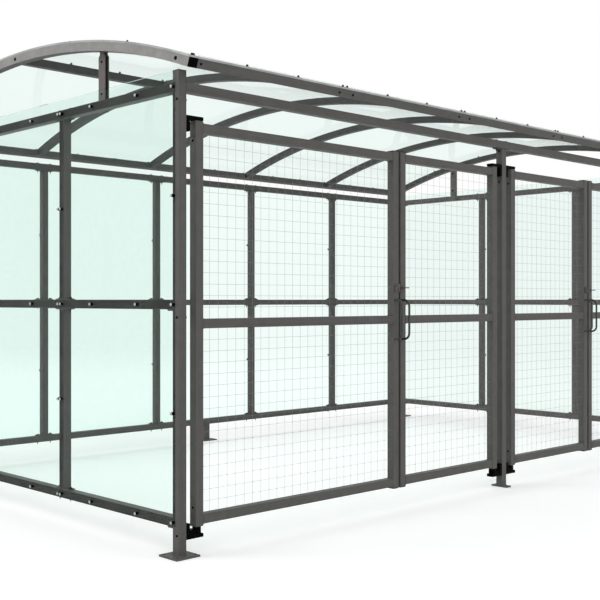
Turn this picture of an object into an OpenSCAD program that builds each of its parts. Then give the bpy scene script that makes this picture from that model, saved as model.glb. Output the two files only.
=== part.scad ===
// Cycle shelter with a barrel roof, clear walls on three sides and two pairs of mesh gates.
// Millimetres, +Z up. The origin is on the ground, in the middle of the plan.
// The length runs along X and the gates are on the -Y side.

/* [Plan] */
// Spacing of the upright lines along the length
bay_length = 900; // [800:10:1000]
// Number of bays along the length
bays_long = 5; // [4:1:6]
// Spacing of the upright lines along the depth
bay_depth = 878; // [780:2:980]
// Number of bays along the depth
bays_deep = 3; // [2:1:4]

/* [Frame] */
// Side of the square tube that the frame is made of
tube = 40; // [36:1:46]
// Outer corner radius of the tube
tube_r = 1.5; // [1:0.5:6]
// How far the corner posts run past the top rails
post_past = 45; // [35:1:60]
// Height of the middle of the bottom rails
bottom_rail_z = 140; // [110:2:200]
// Thickness of the base plates
base_t = 8; // [5:1:12]
// Side of the square base plates
base_w = 120; // [100:2:160]
// How far the narrow base plate stands out beside the front middle post
slim_edge = 1; // [0.5:0.5:8]
// Length of the narrow base plate under the front middle post
slim_base_l = 102; // [96:2:140]
// Radius of the anchor holes in the base plates
anchor_r = 6; // [4:0.5:7]
// Distance from an anchor hole to the plate's edge
anchor_edge = 15; // [12:1:20]
// Length of the plates that close the ends of the uprights
end_plate_l = 120; // [100:2:150]
// Thickness of the plates that close the ends of the uprights
end_plate_t = 5; // [3:0.5:8]
// Corner cut of the plates that close the ends of the uprights
end_plate_cut = 8; // [4:1:12]
// Length of the seats that carry the rails at the corner posts
seat_l = 34; // [24:1:50]
// Thickness of the seats that carry the rails at the corner posts
seat_t = 6; // [4:0.5:8]

/* [Wall sheets] */
// Thickness of the clear wall sheets
sheet_t = 5; // [3:0.5:8]
// Gap between neighbouring wall sheets
sheet_joint = 6; // [4:1:12]
// Gap between the frame and the wall sheets, for sealing tape
sheet_seat = 0.5; // [0.2:0.1:0.9]
// How far a sheet stops short of the outer edge of its rail
sheet_inset = 5; // [2:1:10]

/* [Roof] */
// Outer radius of the roof arches
roof_r = 4120; // [3900:10:4600]
// Gap between the corner posts and the arches above them
arch_gap = 22.7; // [12:0.1:60]
// How far the eaves stand out from the corner posts' middle
eave_out = 92; // [70:2:110]
// Thickness of the clear roof sheets
roof_sheet_t = 8; // [4:0.5:12]
// Gap between neighbouring roof sheets
roof_joint = 6; // [4:1:12]
// Thickness of the curved trim on the end arches
trim_t = 5; // [3:0.5:8]
// Thickness of the plugs in the ends of the end arches
plug_t = 3; // [2:0.5:6]
// Distance of the end struts from the nearest corner post
strut_at = 609; // [500:1:700]
// Width of the end struts
strut_w = 52; // [40:1:70]
// Depth of the end struts' channel
strut_d = 22; // [16:1:30]
// Wall of the end struts' channel
strut_wall = 4; // [3:0.5:6]
// Shoulder cut at the top of the end struts
strut_cut = 10; // [6:1:14]
// How far the end struts lap over the arches
strut_lap = 26; // [16:1:30]

/* [Gates] */
// Distance of the hinge axes from the middle of their post
pivot_out = 88; // [80:1:100]
// Width of the wide leaves
wide_leaf_w = 1278; // [1100:2:1400]
// Gap between the two leaves of a pair
meeting_gap = 14; // [8:1:24]
// Height of the stiles' lower ends above the ground
leaf_z = 112; // [112:1:140]
// Height of the stiles
leaf_h = 1670; // [1600:2:1690]
// Distance from the stiles' upper ends to the header
header_gap = 110; // [80:1:160]
// How far the stiles run past the outer rails
stile_past = 8; // [4:1:16]
// Thickness of the mesh wires
wire = 2.5; // [2:0.5:5]
// Spacing of the mesh wires
mesh_pitch = 48; // [40:1:80]
// Distance between the legs of the pull handles
handle_h = 193; // [150:1:240]
// Distance of the pull handles and hasps from the middle of their stile
handle_off = 10; // [6:1:12]
// Distance of the pull handles' grip from the stile
handle_out = 48; // [42:1:58]
// Radius of the pull handles' bar
handle_r = 5; // [4:0.5:7]
// Bend radius of the pull handles, to the middle of the bar
handle_bend = 30; // [14:1:34]
// Height of the hasp plates above the middle rail
hasp_up = 158; // [140:1:220]
// Width of the hasp plates
hasp_w = 36; // [30:1:37]
// How far the hasp plates stand out from the stile
hasp_out = 32; // [24:1:40]
// Thickness of the hasp plates
hasp_t = 5; // [3:0.5:8]
// Radius of the hole in the hasp plates
hasp_hole_r = 6; // [4:0.5:7]

/* [Hinges] */
// Radius of the hinge pins
pin_r = 8; // [6:0.5:10]
// Clearance round the hinge pins
pin_fit = 0.05; // [0.02:0.01:0.1]
// Clearance between a stile's end and its bracket
hinge_gap = 2; // [1:0.5:4]
// Thickness of the bracket arms
arm_t = 15; // [10:1:20]
// Thickness of the bracket flanges
flange_t = 18; // [10:1:22]
// Height of the bracket flanges
flange_h = 65; // [50:1:80]
// Radius of the bosses that carry the leaves
boss_r = 18; // [13:0.5:20]
// Height of the bosses that carry the leaves
boss_h = 28; // [15:1:30]
// Height of the web between a boss and its flange, above the arm
web_h = 19; // [8:1:24]

/* [Hidden] */

// Colours
frame_grey = [0.35, 0.34, 0.33];
trim_taupe = [0.60, 0.58, 0.56];
plug_black = [0.04, 0.04, 0.04];
clear_mint = [0.86, 0.96, 0.93, 0.45];
wire_grey = [0.72, 0.74, 0.74];

// Smoothness of round bars and of the long roof curves
$fn = 48;
arc_fn = 720;
// Length by which a cut runs past the material
overrun = 2;
// Clearance between the roof sheets and the frame below
roof_seat = 0.3;

// Plan and heights: the gates carry the header's height, and the header the posts' and the roof's
end_x = bays_long * bay_length / 2;
side_y = bays_deep * bay_depth / 2;
half = tube / 2;
top_rail_z = leaf_z + leaf_h + header_gap + half;
post_h = top_rail_z + half + post_past;
mid_rail_z = (bottom_rail_z + top_rail_z) / 2;
rail_zs = [bottom_rail_z, mid_rail_z, top_rail_z];
inner_xs = [for (i = [1 : bays_long - 1]) i * bay_length - end_x];
inner_ys = [for (i = [1 : bays_deep - 1]) i * bay_depth - side_y];

// Roof: the arches turn about an axis along X that lies below the ground
roof_axis_z = post_h + arch_gap - sqrt(pow(roof_r - tube, 2) - pow(side_y + half, 2));
roof_top = roof_axis_z + roof_r;
roof_half = side_y + eave_out;
arch_a = asin((roof_half - tube) / roof_r);
end_arch_a = arch_a + atan(tube / roof_r);
arch_out = half - trim_t;
arch_in = tube - arch_out;
strut_y = side_y - strut_at;

// Gates: each leaf is its hinge's place along X, its direction and its width
leaf_room = end_x - 2 * (pivot_out - half);
narrow_leaf_w = leaf_room - wide_leaf_w - meeting_gap;
left_wide = [pivot_out - end_x, 1, wide_leaf_w];
left_narrow = [-pivot_out, -1, narrow_leaf_w];
right_narrow = [pivot_out, 1, narrow_leaf_w];
right_wide = [end_x - pivot_out, -1, wide_leaf_w];
leaf_rail_zs = [
    leaf_z + stile_past + half,
    leaf_z + leaf_h / 2,
    leaf_z + leaf_h - stile_past - half];

// Square tube with round corners, seen along its length
module tube_section() {
    square([tube, tube - 2 * tube_r], center = true);
    square([tube - 2 * tube_r, tube], center = true);
    for (x = [-1, 1], y = [-1, 1])
        translate([x * (half - tube_r), y * (half - tube_r)]) circle(r = tube_r);
}

module tube_x(x0, x1) {
    translate([x0, 0, 0]) rotate([90, 0, 90]) linear_extrude(x1 - x0) tube_section();
}

module tube_y(y0, y1) {
    translate([0, y0, 0]) rotate([-90, 0, 0]) linear_extrude(y1 - y0) tube_section();
}

module tube_z(z0, z1) {
    translate([0, 0, z0]) linear_extrude(z1 - z0) tube_section();
}

// Steel plate on the ground with an anchor hole in each corner, or a line of two
module base_plate(w, l, hole_xs, hole_ys) {
    difference() {
        translate([-w / 2, -l / 2, 0]) cube([w, l, base_t]);
        for (x = hole_xs, y = hole_ys)
            translate([x, y, -overrun]) cylinder(r = anchor_r, h = base_t + 2 * overrun);
    }
}

module square_base_plate() {
    d = base_w / 2 - anchor_edge;
    base_plate(base_w, base_w, [-d, d], [-d, d]);
}

module base_plates() color(frame_grey) {
    for (x = [-end_x, end_x], y = [-side_y, side_y])
        translate([x, y, 0]) square_base_plate();
    translate([0, side_y, 0]) square_base_plate();
    d = slim_base_l / 2 - anchor_edge;
    translate([0, -side_y, 0]) base_plate(tube + 2 * slim_edge, slim_base_l, [0], [-d, d]);
}

module corner_post(x, y) color(frame_grey)
    translate([x, y, 0]) tube_z(base_t, post_h);

// The header runs over the front middle post and its end plate
module front_middle_post() color(frame_grey)
    translate([0, -side_y, 0]) tube_z(base_t, top_rail_z - half - end_plate_t);

module rear_middle_leg() color(frame_grey)
    translate([0, side_y, 0]) tube_z(base_t, bottom_rail_z - half);

module header_beam() color(frame_grey)
    translate([0, -side_y, top_rail_z]) tube_x(half - end_x, end_x - half);

module end_wall_rails() color(frame_grey)
    for (x = [-end_x, end_x], z = rail_zs)
        translate([x, 0, z]) tube_y(half - side_y, side_y - half);

module rear_wall_rails() color(frame_grey)
    for (z = rail_zs)
        translate([0, side_y, z]) tube_x(half - end_x, end_x - half);

// Two lengths of tube, one below and one above the middle rail, between end plates
module upright() {
    for (i = [0, 1])
        tube_z(rail_zs[i] + half + end_plate_t, rail_zs[i + 1] - half - end_plate_t);
}

module end_wall_uprights() color(frame_grey)
    for (x = [-end_x, end_x], y = inner_ys) translate([x, y, 0]) upright();

module rear_wall_uprights() color(frame_grey)
    for (x = inner_xs) translate([x, side_y, 0]) upright();

// Long plate with cut corners, along X
module end_plate() {
    l = end_plate_l / 2;
    c = end_plate_cut;
    linear_extrude(end_plate_t)
        polygon([[-l, c - half], [c - l, -half], [l - c, -half], [l, c - half],
            [l, half - c], [l - c, half], [c - l, half], [-l, half - c]]);
}

module upright_plates() {
    for (i = [0, 1]) {
        translate([0, 0, rail_zs[i] + half]) end_plate();
        translate([0, 0, rail_zs[i + 1] - half - end_plate_t]) end_plate();
    }
}

module upright_end_plates() color(frame_grey) {
    for (x = [-end_x, end_x], y = inner_ys)
        translate([x, y, 0]) rotate(90) upright_plates();
    for (x = inner_xs) translate([x, side_y, 0]) upright_plates();
    translate([0, -side_y, top_rail_z - half - end_plate_t]) end_plate();
}

// Small plates under the rails' ends, on the inner sides of the corner posts
module rail_seats() color(frame_grey)
    for (x = [0, 1], y = [0, 1], z = rail_zs) mirror([x, 0, 0]) mirror([0, y, 0])
        translate([-end_x, -side_y, z - half - seat_t]) {
            translate([-half, half, 0]) cube([tube, seat_l, seat_t]);
            if (y == 1) translate([half, -half, 0]) cube([seat_l, tube, seat_t]);
        }

// Clear sheets on the outer faces of the frame, one to a bay, that meet over the uprights
module end_wall_sheets() color(clear_mint) {
    sheet_out = end_x + half + sheet_seat + sheet_t;
    z0 = bottom_rail_z - half + sheet_inset;
    for (s = [0, 1], i = [0 : bays_deep - 1]) mirror([s, 0, 0])
        translate([-sheet_out, i * bay_depth - side_y + sheet_joint / 2, z0])
            cube([sheet_t, bay_depth - sheet_joint, post_h - z0]);
}

module rear_wall_sheets() color(clear_mint) {
    z0 = bottom_rail_z - half + sheet_inset;
    z1 = top_rail_z + half - sheet_inset;
    for (i = [0 : bays_long - 1])
        translate([i * bay_length - end_x + sheet_joint / 2, side_y + half + sheet_seat, z0])
            cube([bay_length - sheet_joint, sheet_t, z1 - z0]);
}

// Bar bent about the roof's axis, between two radii and two places along X
module roof_arc(r0, r1, x0, x1, a) {
    translate([0, 0, roof_axis_z]) rotate([0, 90, 0]) rotate(180 - a)
        rotate_extrude(angle = 2 * a, $fn = arc_fn)
            translate([r0, x0]) square([r1 - r0, x1 - x0]);
}

// Places children at the roof's edge: Z points out of the roof and Y away from the ridge
module at_roof_edge(side, a) {
    translate([0, 0, roof_axis_z]) mirror([0, side < 0 ? 1 : 0, 0])
        rotate([-a, 0, 0]) translate([0, 0, roof_r]) children();
}

module eave_beam(side) color(frame_grey)
    at_roof_edge(side, arch_a) translate([0, half, -half])
        tube_x(arch_in - end_x, end_x - arch_in);

module ridge_purlins() color(frame_grey)
    for (i = [0 : bays_long - 1]) {
        x0 = i * bay_length - end_x + (i == 0 ? arch_in : half);
        x1 = (i + 1) * bay_length - end_x - (i == bays_long - 1 ? arch_in : half);
        translate([0, 0, roof_top - half]) tube_x(x0, x1);
    }

module end_arches() color(frame_grey)
    for (s = [0, 1]) mirror([s, 0, 0])
        roof_arc(roof_r - tube, roof_r, -end_x - arch_out, arch_in - end_x, end_arch_a);

module inner_arches() color(frame_grey)
    for (x = inner_xs) roof_arc(roof_r - tube, roof_r, x - half, x + half, arch_a);

module end_arch_trims() color(trim_taupe)
    for (s = [0, 1]) mirror([s, 0, 0])
        roof_arc(roof_r - tube, roof_r, -end_x - half, -end_x - arch_out, end_arch_a);

module end_arch_plugs() color(plug_black)
    for (s = [0, 1], side = [-1, 1]) mirror([s, 0, 0]) at_roof_edge(side, end_arch_a)
        translate([-end_x - half, 0, -tube]) cube([half + arch_in, plug_t, tube]);

// Channel that stands on a pad inside the top rail, open to its post, and laps over the end arch
module end_strut() {
    z0 = top_rail_z - half;
    under_z = roof_axis_z + sqrt(pow(roof_r - tube, 2) - pow(strut_y, 2));
    w = strut_w / 2;
    shoulder_z = under_z - strut_cut;
    difference() {
        rotate([90, 0, 90]) linear_extrude(strut_d)
            polygon([[-w, z0], [w, z0], [w, shoulder_z - strut_cut],
                [w - strut_cut, shoulder_z], [w - strut_cut, under_z + strut_lap],
                [strut_cut - w, under_z + strut_lap], [strut_cut - w, shoulder_z],
                [-w, shoulder_z - strut_cut]]);
        translate([strut_wall, -w - overrun, z0 - overrun])
            cube([strut_d - 2 * strut_wall, strut_w - strut_wall + overrun, under_z - z0]);
    }
    translate([half - arch_in, -w, z0]) cube([arch_in - half, strut_w, tube]);
}

module end_struts() color(frame_grey)
    for (s = [0, 1], y = [0, 1]) mirror([s, 0, 0]) mirror([0, y, 0])
        translate([arch_in - end_x, -strut_y, 0]) end_strut();

// Clear sheets over the arches, one to a bay
module roof_sheets() color(clear_mint)
    for (i = [0 : bays_long - 1]) {
        x0 = i * bay_length - end_x + (i == 0 ? -half : roof_joint / 2);
        x1 = (i + 1) * bay_length - end_x + (i == bays_long - 1 ? half : -roof_joint / 2);
        roof_arc(roof_r + roof_seat, roof_r + roof_seat + roof_sheet_t, x0, x1, end_arch_a);
    }

// Places children at a leaf's hinge axis, with +X along the leaf
module at_leaf(leaf) {
    translate([leaf[0], -side_y, 0]) mirror([leaf[1] < 0 ? 1 : 0, 0, 0]) children();
}

// Black brackets that reach from the post's side to the far side of the hanging stile
module bracket_arm(z) {
    translate([half - pivot_out, -half, z]) cube([pivot_out, tube, arm_t]);
}

module bracket_flange(z) {
    translate([half - pivot_out, -half, z]) cube([flange_t, tube, flange_h]);
}

module pin_bore(z, h) {
    translate([0, 0, z - overrun]) cylinder(r = pin_r + pin_fit, h = h + 2 * overrun);
}

module top_hinge_brackets() color(plug_black) {
    z = leaf_z + leaf_h + hinge_gap;
    for (leaf = [left_wide, left_narrow, right_narrow, right_wide]) at_leaf(leaf)
        difference() {
            union() {
                bracket_arm(z);
                bracket_flange(z + arm_t - flange_h);
            }
            pin_bore(z, arm_t);
        }
}

module bottom_hinge_brackets() color(plug_black) {
    z = leaf_z - hinge_gap - boss_h - arm_t;
    for (leaf = [left_wide, left_narrow, right_narrow, right_wide]) at_leaf(leaf)
        difference() {
            union() {
                bracket_arm(z);
                bracket_flange(z);
                translate([half - pivot_out, -boss_r, z])
                    cube([pivot_out - half, 2 * boss_r, arm_t + web_h]);
                translate([0, 0, z]) cylinder(r = boss_r, h = arm_t + boss_h);
            }
            pin_bore(z, arm_t + boss_h);
        }
}

// The hanging stile turns on a pin at each end; the meeting stile closes the leaf
module gate_stiles(leaf) color(frame_grey) at_leaf(leaf) {
    tube_z(leaf_z, leaf_z + leaf_h);
    translate([0, 0, leaf_z - hinge_gap - boss_h])
        cylinder(r = pin_r, h = leaf_h + 2 * hinge_gap + boss_h + arm_t);
    translate([leaf[2] - tube, 0, 0]) tube_z(leaf_z, leaf_z + leaf_h);
}

module gate_rails(leaf) color(frame_grey) at_leaf(leaf)
    for (z = leaf_rail_zs) translate([0, 0, z]) tube_x(half, leaf[2] - tube - half);

// Welded wire panel between two rails; row 0 is the lower panel
module gate_mesh(leaf, row) color(wire_grey) at_leaf(leaf) {
    z0 = leaf_rail_zs[row] + half;
    w = leaf[2] - 2 * tube;
    h = leaf_rail_zs[row + 1] - half - z0;
    across = round(w / mesh_pitch);
    up = round(h / mesh_pitch);
    translate([half, wire / 2, z0]) rotate([90, 0, 0]) linear_extrude(wire) {
        for (i = [1 : across - 1])
            translate([i * w / across - wire / 2, 0]) square([wire, h]);
        for (j = [1 : up - 1])
            translate([0, j * h / up - wire / 2]) square([w, wire]);
    }
}

// Round bar bent into a D, with its grip along Z
module pull_handle() {
    leg = handle_out - handle_bend;
    for (s = [0, 1]) mirror([0, 0, s]) {
        translate([0, 0, handle_h / 2]) rotate([90, 0, 0]) cylinder(r = handle_r, h = leg);
        translate([0, -leg, handle_h / 2 - handle_bend]) rotate([0, -90, 0]) rotate(-90)
            rotate_extrude(angle = 90) translate([handle_bend, 0]) circle(r = handle_r);
    }
    translate([0, -handle_out, handle_bend - handle_h / 2])
        cylinder(r = handle_r, h = handle_h - 2 * handle_bend);
}

// Plate with a hole for a padlock, standing out from the stile
module hasp_plate() {
    difference() {
        translate([-hasp_t / 2, -hasp_out, -hasp_w / 2]) cube([hasp_t, hasp_out, hasp_w]);
        translate([-hasp_t / 2 - overrun, -hasp_out / 2, 0]) rotate([0, 90, 0])
            cylinder(r = hasp_hole_r, h = hasp_t + 2 * overrun);
    }
}

// Pull handle on the meeting stile, left of its middle, with the leaf's hasp plate above it
module gate_handle(leaf, hasp_turn) color(frame_grey) at_leaf(leaf)
    translate([leaf[2] - tube - leaf[1] * handle_off, -half, leaf_rail_zs[1]]) {
        pull_handle();
        translate([0, 0, hasp_up]) rotate([0, hasp_turn, 0]) hasp_plate();
    }

base_plates();
corner_post(-end_x, -side_y);  // front_left_post
front_middle_post();
corner_post(end_x, -side_y);  // front_right_post
corner_post(-end_x, side_y);  // rear_left_post
rear_middle_leg();
corner_post(end_x, side_y);  // rear_right_post
header_beam();
end_wall_rails();
rear_wall_rails();
end_wall_uprights();
rear_wall_uprights();
upright_end_plates();
rail_seats();
end_wall_sheets();
rear_wall_sheets();
eave_beam(-1);  // front_eave_beam
eave_beam(1);  // rear_eave_beam
ridge_purlins();
end_arches();
inner_arches();
end_arch_trims();
end_arch_plugs();
end_struts();
roof_sheets();
top_hinge_brackets();
bottom_hinge_brackets();
gate_stiles(left_wide);  // left_wide_gate_stiles
gate_rails(left_wide);  // left_wide_gate_rails
gate_mesh(left_wide, 1);  // left_wide_gate_upper_mesh
gate_mesh(left_wide, 0);  // left_wide_gate_lower_mesh
gate_handle(left_wide, 0);  // left_wide_gate_handle
gate_stiles(left_narrow);  // left_narrow_gate_stiles
gate_rails(left_narrow);  // left_narrow_gate_rails
gate_mesh(left_narrow, 1);  // left_narrow_gate_upper_mesh
gate_mesh(left_narrow, 0);  // left_narrow_gate_lower_mesh
gate_handle(left_narrow, 90);  // left_narrow_gate_handle
gate_stiles(right_narrow);  // right_narrow_gate_stiles
gate_rails(right_narrow);  // right_narrow_gate_rails
gate_mesh(right_narrow, 1);  // right_narrow_gate_upper_mesh
gate_mesh(right_narrow, 0);  // right_narrow_gate_lower_mesh
gate_handle(right_narrow, 0);  // right_narrow_gate_handle
gate_stiles(right_wide);  // right_wide_gate_stiles
gate_rails(right_wide);  // right_wide_gate_rails
gate_mesh(right_wide, 1);  // right_wide_gate_upper_mesh
gate_mesh(right_wide, 0);  // right_wide_gate_lower_mesh
gate_handle(right_wide, 90);  // right_wide_gate_handle
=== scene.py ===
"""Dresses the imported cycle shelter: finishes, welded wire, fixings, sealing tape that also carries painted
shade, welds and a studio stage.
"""
import math

import bmesh
import bpy
from mathutils import Matrix, Vector


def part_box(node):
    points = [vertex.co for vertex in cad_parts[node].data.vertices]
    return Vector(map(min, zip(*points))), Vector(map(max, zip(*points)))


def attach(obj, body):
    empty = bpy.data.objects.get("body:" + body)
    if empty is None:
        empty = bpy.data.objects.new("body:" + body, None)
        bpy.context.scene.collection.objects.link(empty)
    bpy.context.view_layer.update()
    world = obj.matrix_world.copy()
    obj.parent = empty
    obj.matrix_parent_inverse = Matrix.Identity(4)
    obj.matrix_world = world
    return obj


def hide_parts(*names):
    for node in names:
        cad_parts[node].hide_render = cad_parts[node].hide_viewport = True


bl_info = {
    "name": "Cycle Shelter Dressing",
    "version": (1, 0, 0),
    "blender": (4, 5, 0),
    "location": "View3D > Sidebar > Shelter",
    "description": "Finishes and small pieces for a framed cycle shelter with mesh gates",
    "category": "Object",
}

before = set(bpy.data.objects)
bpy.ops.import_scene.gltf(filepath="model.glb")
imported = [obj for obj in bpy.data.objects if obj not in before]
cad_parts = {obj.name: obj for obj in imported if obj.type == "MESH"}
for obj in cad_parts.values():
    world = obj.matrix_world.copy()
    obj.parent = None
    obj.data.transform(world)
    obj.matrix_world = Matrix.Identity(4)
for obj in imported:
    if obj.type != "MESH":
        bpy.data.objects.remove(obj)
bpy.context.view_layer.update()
SHELTER = "shelter"
GATES = ("left_wide_gate", "left_narrow_gate", "right_narrow_gate", "right_wide_gate")
HUNG_AT_LOW_X = ("left_wide_gate", "right_narrow_gate")

# Places of the frame, read from its nodes
POST_LO, POST_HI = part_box("front_left_post")
TUBE = POST_HI.x - POST_LO.x
HALF = TUBE / 2
END_X = -(POST_LO.x + POST_HI.x) / 2
SIDE_Y = -(POST_LO.y + POST_HI.y) / 2
POST_TOP = POST_HI.z
PLATE_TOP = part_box("base_plates")[1].z
RAIL_LO, RAIL_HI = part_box("rear_wall_rails")
RAIL_ZS = (RAIL_LO.z + HALF, (RAIL_LO.z + RAIL_HI.z) / 2, RAIL_HI.z - HALF)
FRAME_X = END_X + HALF
FRAME_Y = SIDE_Y + HALF
TRIM_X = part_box("end_arch_trims")[1].x
END_ARCH_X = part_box("end_arches")[1].x - HALF

# Bays of the walls, and the lines between them
BAYS_LONG = 5
BAYS_DEEP = 3
BAY_LENGTH = 2 * END_X / BAYS_LONG
BAY_DEPTH = 2 * SIDE_Y / BAYS_DEEP
LINE_XS = [i * BAY_LENGTH - END_X for i in range(BAYS_LONG + 1)]
LINE_YS = [i * BAY_DEPTH - SIDE_Y for i in range(BAYS_DEEP + 1)]

# Sizes of the frame that its nodes' boxes do not give
END_PLATE_T = 0.005
SHEET_EDGE = 0.003  # half the joint between two sheets
STILE_PAST = 0.008  # what the stiles run past the outer rails
ARCH_IN = 0.025  # the end arches' inner faces from the posts' middle
STRUT_W = 0.052
STRUT_D = 0.022
ROOF_R = 4.12
ROOF_SEAT = 0.0003
HINGE_GAP = 0.002
PIN_R = 0.008
HANDLE_R = 0.005
HANDLE_H = 0.193
HANDLE_BEND = 0.030

# Ends of the gates' stiles, and outer and inner faces of the struts
LEAF_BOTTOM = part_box("left_wide_gate_rails")[0].z - STILE_PAST
LEAF_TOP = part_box("left_wide_gate_rails")[1].z + STILE_PAST
STRUT_OUT_X = END_X - ARCH_IN
STRUT_IN_X = STRUT_OUT_X - STRUT_D

# The roof turns about an axis along X, and its places are angles from the ridge
ROOF_AXIS_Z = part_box("inner_arches")[1].z - ROOF_R
ROOF_OUT_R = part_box("roof_sheets")[1].z - ROOF_AXIS_Z
ARCH_A = math.asin(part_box("inner_arches")[1].y / ROOF_R)
EAVE_A = ARCH_A + math.atan(HALF / ROOF_R)
SHEET_A = ARCH_A + math.atan(TUBE / ROOF_R)
SHEET_IN_R = ROOF_R + ROOF_SEAT
SHEET_MIDDLE_R = (SHEET_IN_R + ROOF_OUT_R) / 2

# Sheet fixings and screws: heights stand on the face that carries them
FIXING_H = 0.0190
FIXING_HEAD_H = 0.0035
FIXING_EDGE = 0.011
FIXING_SHARES = (0.30, 0.70)  # of a bay, for the fixings between a sheet's edges
SCREW_H = 0.007
SCREW_SHANK_R = 0.0032
SCREW_TIP_L = 0.017
PLATE_SCREW_OUT = 0.046
ROOF_SCREW_H = 0.0075
ROOF_SCREW_EDGE = 0.014
ROOF_SCREW_TURN = 7  # radians to a metre of the roof's length, so that the heads differ
END_ARCH_STEPS = 3

# Bolts, nuts and plugs
BOLT_R = 0.0055
BOLT_H = 0.004
NUT_H = BOLT_H * 1.8
PLUG_H = BOLT_H * 0.6
TRIM_BOLT_R = 0.0085
EAVE_BOLT_OUT = 0.045
STRUT_BOLT_ZS = (1.975, 2.120)
POST_BOLT_DOWN = 0.052
POST_BOLT_OFF = 0.009
MIDDLE_POST_BOLT_ZS = (1.703, 1.877)
STILE_PLUG_ZS = (0.190, 1.702)

# Other small pieces
WASHER_R = 0.015
WASHER_T = 0.0016
WASHER_PLAY = WASHER_T * 0.15
HANDLE_COAT = 0.0006
EDGE_STRIP_T = 0.0006
TAPE_T = 0.0004
TAPE_BASE = TAPE_T * 0.1
TAPE_EDGE = TAPE_T * 0.3
TAPE_MARGIN = TUBE * 0.04
FOOT_BEAD = 1.3  # beads round the feet, against the others
WIRE_OFF = 0.42  # of a wire's thickness, from the panel's middle to the wire's

# Stage
FLOOR_SIZE = 160
FLOOR_GLOW = 0.33
FLOOR_FADE = (8.0, 18.0)
ROOM_LIGHT = 0.80
LAMPS = {"key light": ((-14.0, 10.0, 12.0), 1050), "fill light": ((-3.0, -14.0, 7.0), 220)}
LAMP_SIZE = 10.0
LAMP_AIM = Vector((-1.0, -0.6, 1.0))
SENSOR_W = 36
CAMERA_SHIFT = -0.0005

# Colours that no panel value sets
WHITE = (1, 1, 1, 1)
BOLT_STEEL = (0.004, 0.004, 0.004)
# Near-black of the fixings' rubber sleeves, which also stands in as painted shade on the dark side of each
# head
SLEEVE_RUBBER_AND_SHADE = (0.003, 0.003, 0.003)

# Nodes by their paint and by the way their tubes run; the end walls' paint is a lighter copy as painted
# light, and the inner paint a darker copy as painted shade
TUBES = {
    "frame": {
        "X": ["header_beam", "front_eave_beam", "rear_eave_beam", "rear_wall_rails"],
        "Z": ["front_left_post", "front_middle_post", "front_right_post", "rear_left_post",
              "rear_right_post", "rear_middle_leg", "base_plates", "rear_wall_uprights"],
    },
    # End walls: a lighter copy of the paint, as painted light
    "end wall": {"Y": ["end_wall_rails"], "Z": ["end_wall_uprights", "end_struts"]},
    # Inner members: a darker copy of the paint, as painted shade
    "inner": {
        "X": ["ridge_purlins"],
        "Y": ["end_arches", "inner_arches", "rail_seats", "upright_end_plates"],
    },
}

X_AXIS = Vector((1, 0, 0))
Y_AXIS = Vector((0, 1, 0))
Z_AXIS = Vector((0, 0, 1))


class ShelterColours(bpy.types.PropertyGroup):
    """Colours of the finishes"""

    paint: bpy.props.FloatVectorProperty(
        name="Paint", description="Coat of the posts, beams, rear wall and gates",
        subtype="COLOR", size=3, min=0, max=1, default=(0.093, 0.090, 0.086))
    # Painted light: the end walls' paint is a lighter copy of the frame paint, to make up for the shade on
    # their rails, uprights and struts
    end_paint: bpy.props.FloatVectorProperty(
        name="End wall lit paint", description="Coat of the end walls' rails, uprights and struts, made lighter as painted light",
        subtype="COLOR", size=3, min=0, max=1, default=(0.117, 0.106, 0.103))
    # Painted shade: the inner paint is a darker copy of the frame paint, on the roof's members, the small
    # plates and the uprights' welds
    inner_paint: bpy.props.FloatVectorProperty(
        name="Inner shaded paint",
        description="Coat of the roof's members, the small plates and the uprights' welds, made darker as painted shade",
        subtype="COLOR", size=3, min=0, max=1, default=(0.067, 0.066, 0.064))
    trim: bpy.props.FloatVectorProperty(
        name="Trim", description="Curved strip on the end arches",
        subtype="COLOR", size=3, min=0, max=1, default=(0.270, 0.262, 0.254))
    plastic: bpy.props.FloatVectorProperty(
        name="Plastic", description="Plugs, caps and hinge brackets",
        subtype="COLOR", size=3, min=0, max=1, default=(0.0006, 0.0006, 0.0006))
    handle: bpy.props.FloatVectorProperty(
        name="Handle", description="Coats of the pull handles",
        subtype="COLOR", size=3, min=0, max=1, default=(0.030, 0.032, 0.032))
    end_clear: bpy.props.FloatVectorProperty(
        name="End sheet", description="Tint of the clear sheets of the end walls",
        subtype="COLOR", size=3, min=0, max=1, default=(0.850, 0.940, 0.908))
    rear_clear: bpy.props.FloatVectorProperty(
        name="Rear sheet", description="Tint of the clear sheets of the rear wall",
        subtype="COLOR", size=3, min=0, max=1, default=(0.888, 0.982, 0.951))
    roof_clear: bpy.props.FloatVectorProperty(
        name="Roof sheet", description="Tint of the clear roof sheets",
        subtype="COLOR", size=3, min=0, max=1, default=(0.862, 0.945, 0.915))
    sheet_edge: bpy.props.FloatVectorProperty(
        name="Sheet edge", description="Strips that close the roof sheets' edges",
        subtype="COLOR", size=3, min=0, max=1, default=(0.420, 0.445, 0.435))
    zinc: bpy.props.FloatVectorProperty(
        name="Zinc", description="Heads of the sheet fixings, and washers",
        subtype="COLOR", size=3, min=0, max=1, default=(0.480, 0.490, 0.490))
    wire: bpy.props.FloatVectorProperty(
        name="Wire", description="Wires of the gate mesh",
        subtype="COLOR", size=3, min=0, max=1, default=(0.200, 0.206, 0.205))
    # Tape: sealing tape, whose dark colour is also painted shade that the wall sheets cast on the frame
    tape: bpy.props.FloatVectorProperty(
        name="Tape and shade", description="Sealing tape between the frame and the sheets, dark also as painted shade from the sheets",
        subtype="COLOR", size=3, min=0, max=1, default=(0.055, 0.050, 0.049))
    floor: bpy.props.FloatVectorProperty(
        name="Floor", description="Studio floor",
        subtype="COLOR", size=3, min=0, max=1, default=(0.80, 0.80, 0.80))


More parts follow.
